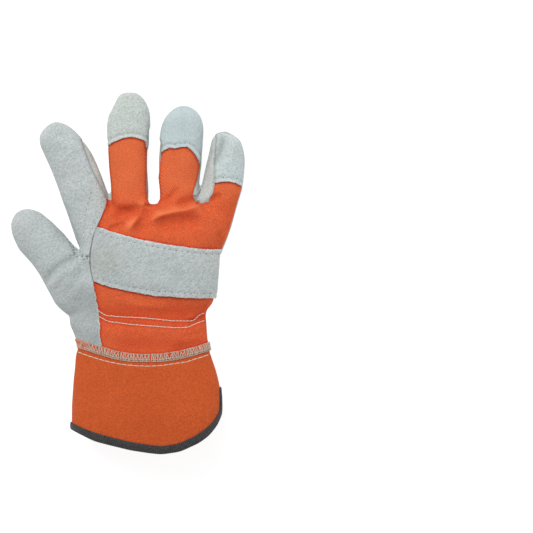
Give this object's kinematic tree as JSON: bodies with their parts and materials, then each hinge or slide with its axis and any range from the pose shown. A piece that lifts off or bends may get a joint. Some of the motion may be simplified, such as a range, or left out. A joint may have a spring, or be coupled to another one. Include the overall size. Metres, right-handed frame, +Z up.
{
  "type": "leather work glove",
  "caption": "Right-hand rigger work glove of split leather with an orange cotton back, a leather knuckle strap, and a stiff open safety cuff with a bound hem and a side slit.",
  "frame": {"origin": "middle of the outline in plan, at the floor under the palm", "axes": "+Z up from the palm to the back, +Y along the middle finger towards the fingertips, +X towards the little finger"},
  "size_m": [0.1746, 0.273, 0.0511],
  "materials": {
    "leather": "matt split suede, pale grey",
    "leather_side": "matt split suede, slightly beige",
    "cotton_twill": "matt orange cotton twill",
    "rubberised_cloth": "smooth stiff orange rubberised cloth",
    "binding_tape": "matt dark tape"
  },
  "bodies": {
    "root": {"palm": "leather", "middle_ring_front": "leather", "index_back": "leather", "thumb_back": "leather", "fork_index_middle": "leather_side", "fork_middle_ring": "leather_side", "fork_ring_little": "leather_side", "back_cloth": "cotton_twill", "tip_middle": "leather", "tip_ring": "leather", "tip_little": "leather", "knuckle_strap": "leather", "cuff": "rubberised_cloth", "binding": "binding_tape"}
  },
  "joints": []
}
